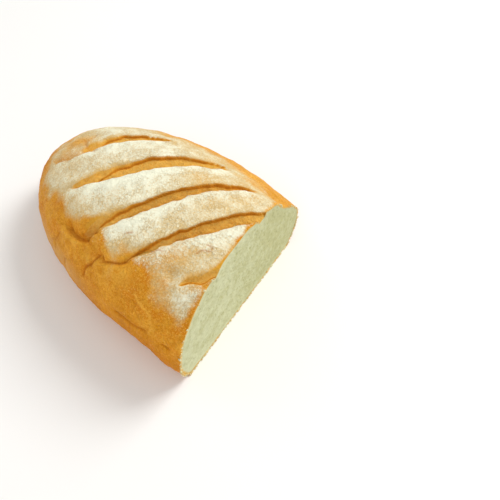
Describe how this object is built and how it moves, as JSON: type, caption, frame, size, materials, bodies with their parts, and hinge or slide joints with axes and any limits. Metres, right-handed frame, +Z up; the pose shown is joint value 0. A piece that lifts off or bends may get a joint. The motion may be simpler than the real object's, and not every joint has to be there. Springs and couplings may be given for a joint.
{
  "type": "loaf of bread, cut piece",
  "caption": "Long oval white loaf with diagonal slashes and floured crust, cut straight across; lies on its flat base.",
  "frame": {"origin": "middle of the piece's box, on the plane that it lies on", "axes": "+X points out of the cut face and the round end lies towards -X, +Z is up, -Y is the side with the steeper wall"},
  "size_m": [0.1872, 0.158, 0.0845],
  "materials": {
    "crust": "baked golden crust dusted with flour, dull",
    "crumb": "soft white crumb with fine pores, dull"
  },
  "bodies": {
    "root": {"loaf": "crust"}
  },
  "joints": []
}
